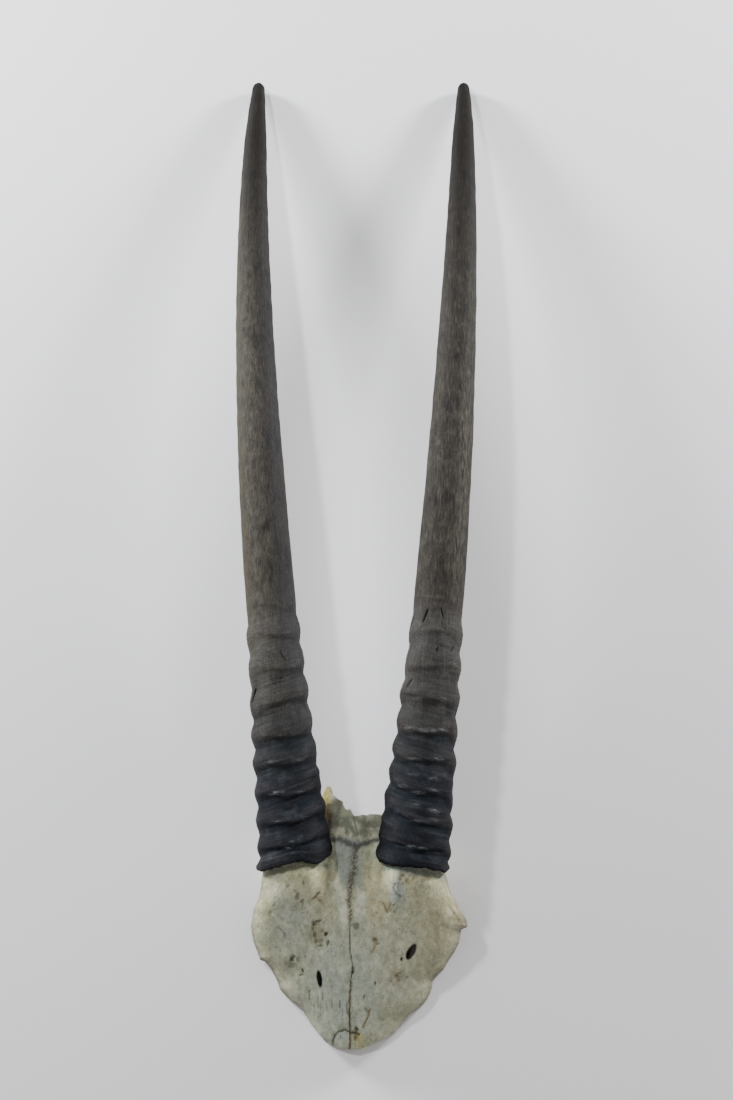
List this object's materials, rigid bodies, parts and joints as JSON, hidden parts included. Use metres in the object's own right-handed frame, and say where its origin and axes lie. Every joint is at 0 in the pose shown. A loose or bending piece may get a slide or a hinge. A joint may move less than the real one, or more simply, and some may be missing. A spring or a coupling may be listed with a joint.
{
  "type": "pair of gemsbok horns",
  "caption": "Long ringed antelope horns, nearly straight and black, on the dry bone plate of the forehead, sawn flat behind.",
  "frame": {"origin": "middle of the object's outline seen from above, on the surface it lies on", "axes": "+Z out of the forehead, away from the surface, +Y from the nose end towards the horn tips, +X to the right as seen in the picture"},
  "size_m": [0.2058, 0.8374, 0.073],
  "materials": {
    "bone": "dry weathered bone, matt, grey to cream with brown sutures",
    "horn": "horn keratin, blue-black with a slight gloss at the rings, dull brown-grey fibres above them"
  },
  "bodies": {
    "root": {"skull_plate": "bone", "left_horn": "horn", "right_horn": "horn"}
  },
  "joints": []
}
